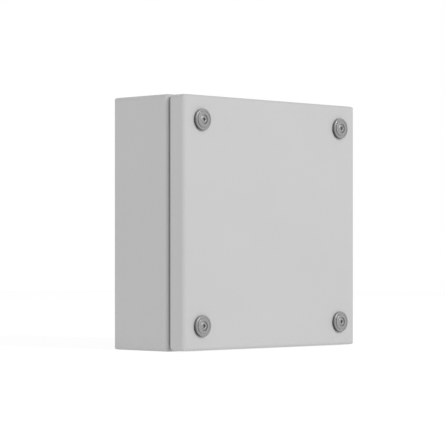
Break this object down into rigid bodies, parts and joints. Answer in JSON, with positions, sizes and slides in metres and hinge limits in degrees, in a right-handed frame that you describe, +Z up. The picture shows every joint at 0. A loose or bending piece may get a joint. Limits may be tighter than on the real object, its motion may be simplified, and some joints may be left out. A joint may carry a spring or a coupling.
{
  "type": "terminal box",
  "caption": "Flat square sheet steel terminal box with a separate screwed cover on a foamed seal, captive corner screws and a support rail for terminals inside.",
  "frame": {"origin": "centre of the rear face, which lies on the wall, midway between the four wall holes", "axes": "+X to the right and +Z up, seen from the front; the cover faces -Y and the wall is on +Y"},
  "size_m": [0.2, 0.0832, 0.2],
  "materials": {
    "powder_coat": "satin",
    "foam_seal": "matte",
    "ring_rubber": "matte",
    "screw_steel": "satin",
    "ferrule_steel": "satin",
    "zinc_steel": "satin",
    "stud_copper": "satin"
  },
  "bodies": {
    "enclosure": {"enclosure_body": "powder_coat", "corner_gusset_tl": "powder_coat", "corner_gusset_tr": "powder_coat", "corner_gusset_bl": "powder_coat", "corner_gusset_br": "powder_coat", "weld_nut_tl": "zinc_steel", "weld_nut_tr": "zinc_steel", "weld_nut_bl": "zinc_steel", "weld_nut_br": "zinc_steel", "mounting_rail_left": "powder_coat", "mounting_rail_right": "powder_coat", "support_rail": "zinc_steel", "rail_screw_left": "zinc_steel", "rail_screw_right": "zinc_steel", "body_earth_stud": "stud_copper", "body_earth_washer": "zinc_steel", "body_earth_nut": "zinc_steel"},
    "cover": {"cover": "powder_coat", "cover_seal": "foam_seal", "screw_ferrule_tl": "ferrule_steel", "screw_ferrule_tr": "ferrule_steel", "screw_ferrule_bl": "ferrule_steel", "screw_ferrule_br": "ferrule_steel", "ferrule_seal_tl": "ring_rubber", "ferrule_seal_tr": "ring_rubber", "ferrule_seal_bl": "ring_rubber", "ferrule_seal_br": "ring_rubber", "lock_ring_tl": "zinc_steel", "lock_ring_tr": "zinc_steel", "lock_ring_bl": "zinc_steel", "lock_ring_br": "zinc_steel", "cover_earth_stud": "stud_copper", "cover_earth_washer": "zinc_steel", "cover_earth_nut": "zinc_steel"},
    "screw_tl": {"cover_screw_tl": "screw_steel"},
    "screw_tr": {"cover_screw_tr": "screw_steel"},
    "screw_bl": {"cover_screw_bl": "screw_steel"},
    "screw_br": {"cover_screw_br": "screw_steel"}
  },
  "joints": [
    {"name": "cover_lift", "type": "slide", "parent": "enclosure", "child": "cover", "axis": [0, -1, 0], "range_m": [0, 0.1]},
    {"name": "screw_turn_tl", "type": "hinge", "parent": "cover", "child": "screw_tl", "pos_m": [-0.08, -0.08, 0.08], "axis": [0, -1, 0], "continuous": true},
    {"name": "screw_turn_tr", "type": "hinge", "parent": "cover", "child": "screw_tr", "pos_m": [0.08, -0.08, 0.08], "axis": [0, -1, 0], "continuous": true},
    {"name": "screw_turn_bl", "type": "hinge", "parent": "cover", "child": "screw_bl", "pos_m": [-0.08, -0.08, -0.08], "axis": [0, -1, 0], "continuous": true},
    {"name": "screw_turn_br", "type": "hinge", "parent": "cover", "child": "screw_br", "pos_m": [0.08, -0.08, -0.08], "axis": [0, -1, 0], "continuous": true}
  ]
}
